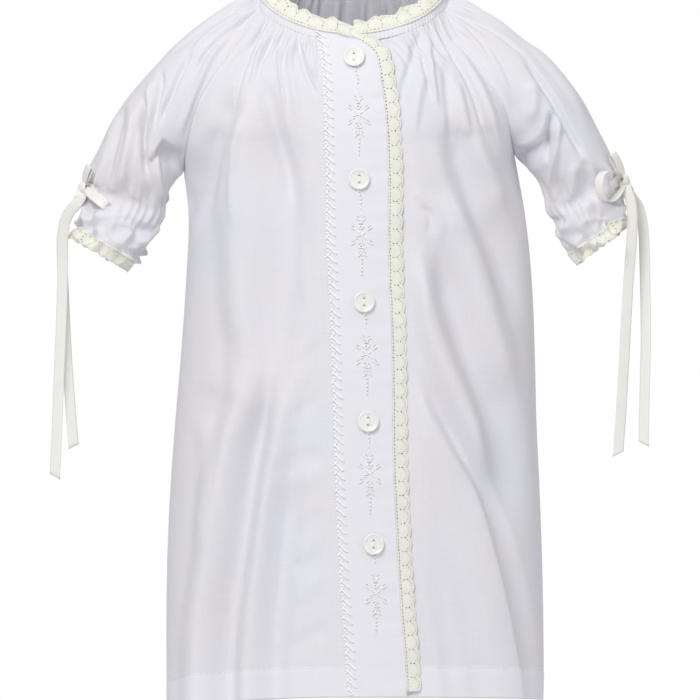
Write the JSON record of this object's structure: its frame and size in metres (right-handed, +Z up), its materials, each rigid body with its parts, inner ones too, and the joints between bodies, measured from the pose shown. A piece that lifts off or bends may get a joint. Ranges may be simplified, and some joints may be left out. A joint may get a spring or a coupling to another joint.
{
  "type": "baby daygown",
  "caption": "Newborn's white cotton daygown with gathered raglan sleeves, buttoned front placket, lace edging and ribbon-tied cuffs, filled out as worn.",
  "frame": {"origin": "inside the neck opening, on the middle line, level with the top of the shoulders, where the wearer's neck and shoulders hold the gown up", "axes": "+Z up along the wearer's spine, -Y the way the wearer faces, +X the wearer's left"},
  "size_m": [0.3609, 0.1505, 0.4568],
  "materials": {
    "white_cotton": "fine plain weave, matt",
    "ecru_lace": "cotton eyelet lace, matt",
    "cream_satin": "satin ribbon, soft sheen",
    "mother_of_pearl": "polished shell"
  },
  "bodies": {
    "root": {"front_right": "white_cotton", "front_left": "white_cotton", "placket": "white_cotton", "back": "white_cotton", "sleeve_right": "white_cotton", "sleeve_left": "white_cotton", "neck_binding": "white_cotton", "neck_lace": "ecru_lace", "front_lace": "ecru_lace", "cuff_lace_right": "ecru_lace", "cuff_lace_left": "ecru_lace", "button_1": "mother_of_pearl", "button_2": "mother_of_pearl", "button_3": "mother_of_pearl", "button_4": "mother_of_pearl", "button_5": "mother_of_pearl", "ribbon_right": "cream_satin", "ribbon_left": "cream_satin", "knot_right": "cream_satin", "knot_left": "cream_satin", "loop_right_upper": "cream_satin", "loop_right_front": "cream_satin", "loop_left_upper": "cream_satin", "loop_left_front": "cream_satin", "tail_right_front": "cream_satin", "tail_right_back": "cream_satin", "tail_left_front": "cream_satin", "tail_left_back": "cream_satin"}
  },
  "joints": []
}
